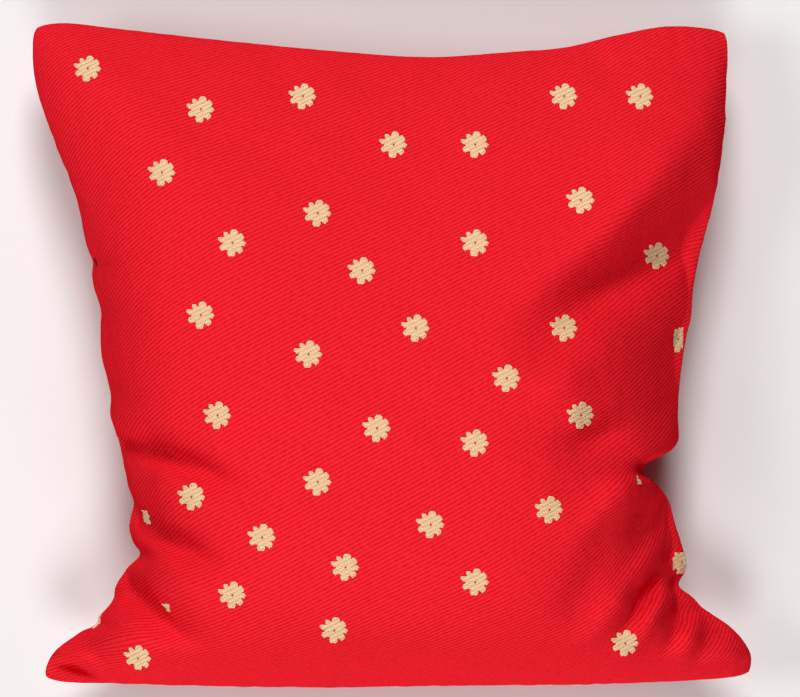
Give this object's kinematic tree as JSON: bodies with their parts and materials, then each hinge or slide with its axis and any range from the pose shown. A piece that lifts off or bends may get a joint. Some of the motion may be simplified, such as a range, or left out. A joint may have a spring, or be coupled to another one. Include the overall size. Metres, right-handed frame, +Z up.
{
  "type": "stone pine pillow",
  "caption": "Small square pillow filled with wood shavings, in a twill cover with drawn-in sides, full lower edge and slack upper edge, lying on its back.",
  "frame": {"origin": "middle of the pillow's footprint, on the surface it lies on", "axes": "+Z up and out of the face, +Y towards the upper seam, +X towards the right-hand side of the face"},
  "size_m": [0.1952, 0.1798, 0.073],
  "materials": {
    "cover": "heavy red twill with raised slanting ribs and small pale gold flowers woven in"
  },
  "bodies": {
    "root": {"pillow": "cover"}
  },
  "joints": []
}
